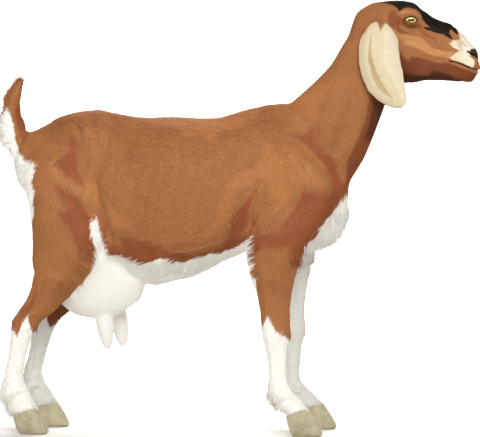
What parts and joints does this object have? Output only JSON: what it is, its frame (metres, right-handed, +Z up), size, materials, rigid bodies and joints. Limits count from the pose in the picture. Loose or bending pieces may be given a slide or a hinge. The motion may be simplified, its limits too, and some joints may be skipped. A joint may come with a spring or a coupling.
{
  "type": "nubian dairy goat",
  "caption": "Standing hornless dairy doe with a roman nose, long hanging ears, an udder and a raised tail, life size, resting square on her hooves",
  "frame": {"origin": "bottom centre of the bounding box, on the floor between the four hooves", "axes": "+X from the tail towards the head, +Y to the animal's left, +Z up"},
  "size_m": [1.1718, 0.307, 1.0506],
  "materials": {
    "brown_coat": "short glossy brown hair",
    "white_coat": "short white hair",
    "cream_coat": "very short cream hair",
    "hoof_horn": "horn of the hooves and dewclaws, matte",
    "eye": "wet eyeball, amber iris"
  },
  "bodies": {
    "root": {"chest": "brown_coat", "barrel": "brown_coat", "rump": "brown_coat", "neck": "brown_coat", "tail": "brown_coat", "head": "brown_coat", "jaw": "brown_coat", "hindleg_right_thigh": "brown_coat", "foreleg_right_forearm": "brown_coat", "foreleg_right_cannon": "white_coat", "foreleg_right_pastern": "white_coat", "hoof_fore_right_outer": "hoof_horn", "dewclaw_fore_right_outer": "hoof_horn", "hoof_fore_right_inner": "hoof_horn", "dewclaw_fore_right_inner": "hoof_horn", "hindleg_right_gaskin": "brown_coat", "hindleg_right_cannon": "white_coat", "hindleg_right_pastern": "white_coat", "hoof_hind_right_outer": "hoof_horn", "dewclaw_hind_right_outer": "hoof_horn", "hoof_hind_right_inner": "hoof_horn", "dewclaw_hind_right_inner": "hoof_horn", "hindleg_left_thigh": "brown_coat", "foreleg_left_forearm": "brown_coat", "foreleg_left_cannon": "white_coat", "foreleg_left_pastern": "white_coat", "hoof_fore_left_outer": "hoof_horn", "dewclaw_fore_left_outer": "hoof_horn", "hoof_fore_left_inner": "hoof_horn", "dewclaw_fore_left_inner": "hoof_horn", "hindleg_left_gaskin": "brown_coat", "hindleg_left_cannon": "white_coat", "hindleg_left_pastern": "white_coat", "hoof_hind_left_outer": "hoof_horn", "dewclaw_hind_left_outer": "hoof_horn", "hoof_hind_left_inner": "hoof_horn", "dewclaw_hind_left_inner": "hoof_horn", "udder": "white_coat", "teat_right": "white_coat", "teat_left": "white_coat", "eye_right": "eye", "ear_right": "cream_coat", "eye_left": "eye", "ear_left": "cream_coat"}
  },
  "joints": []
}
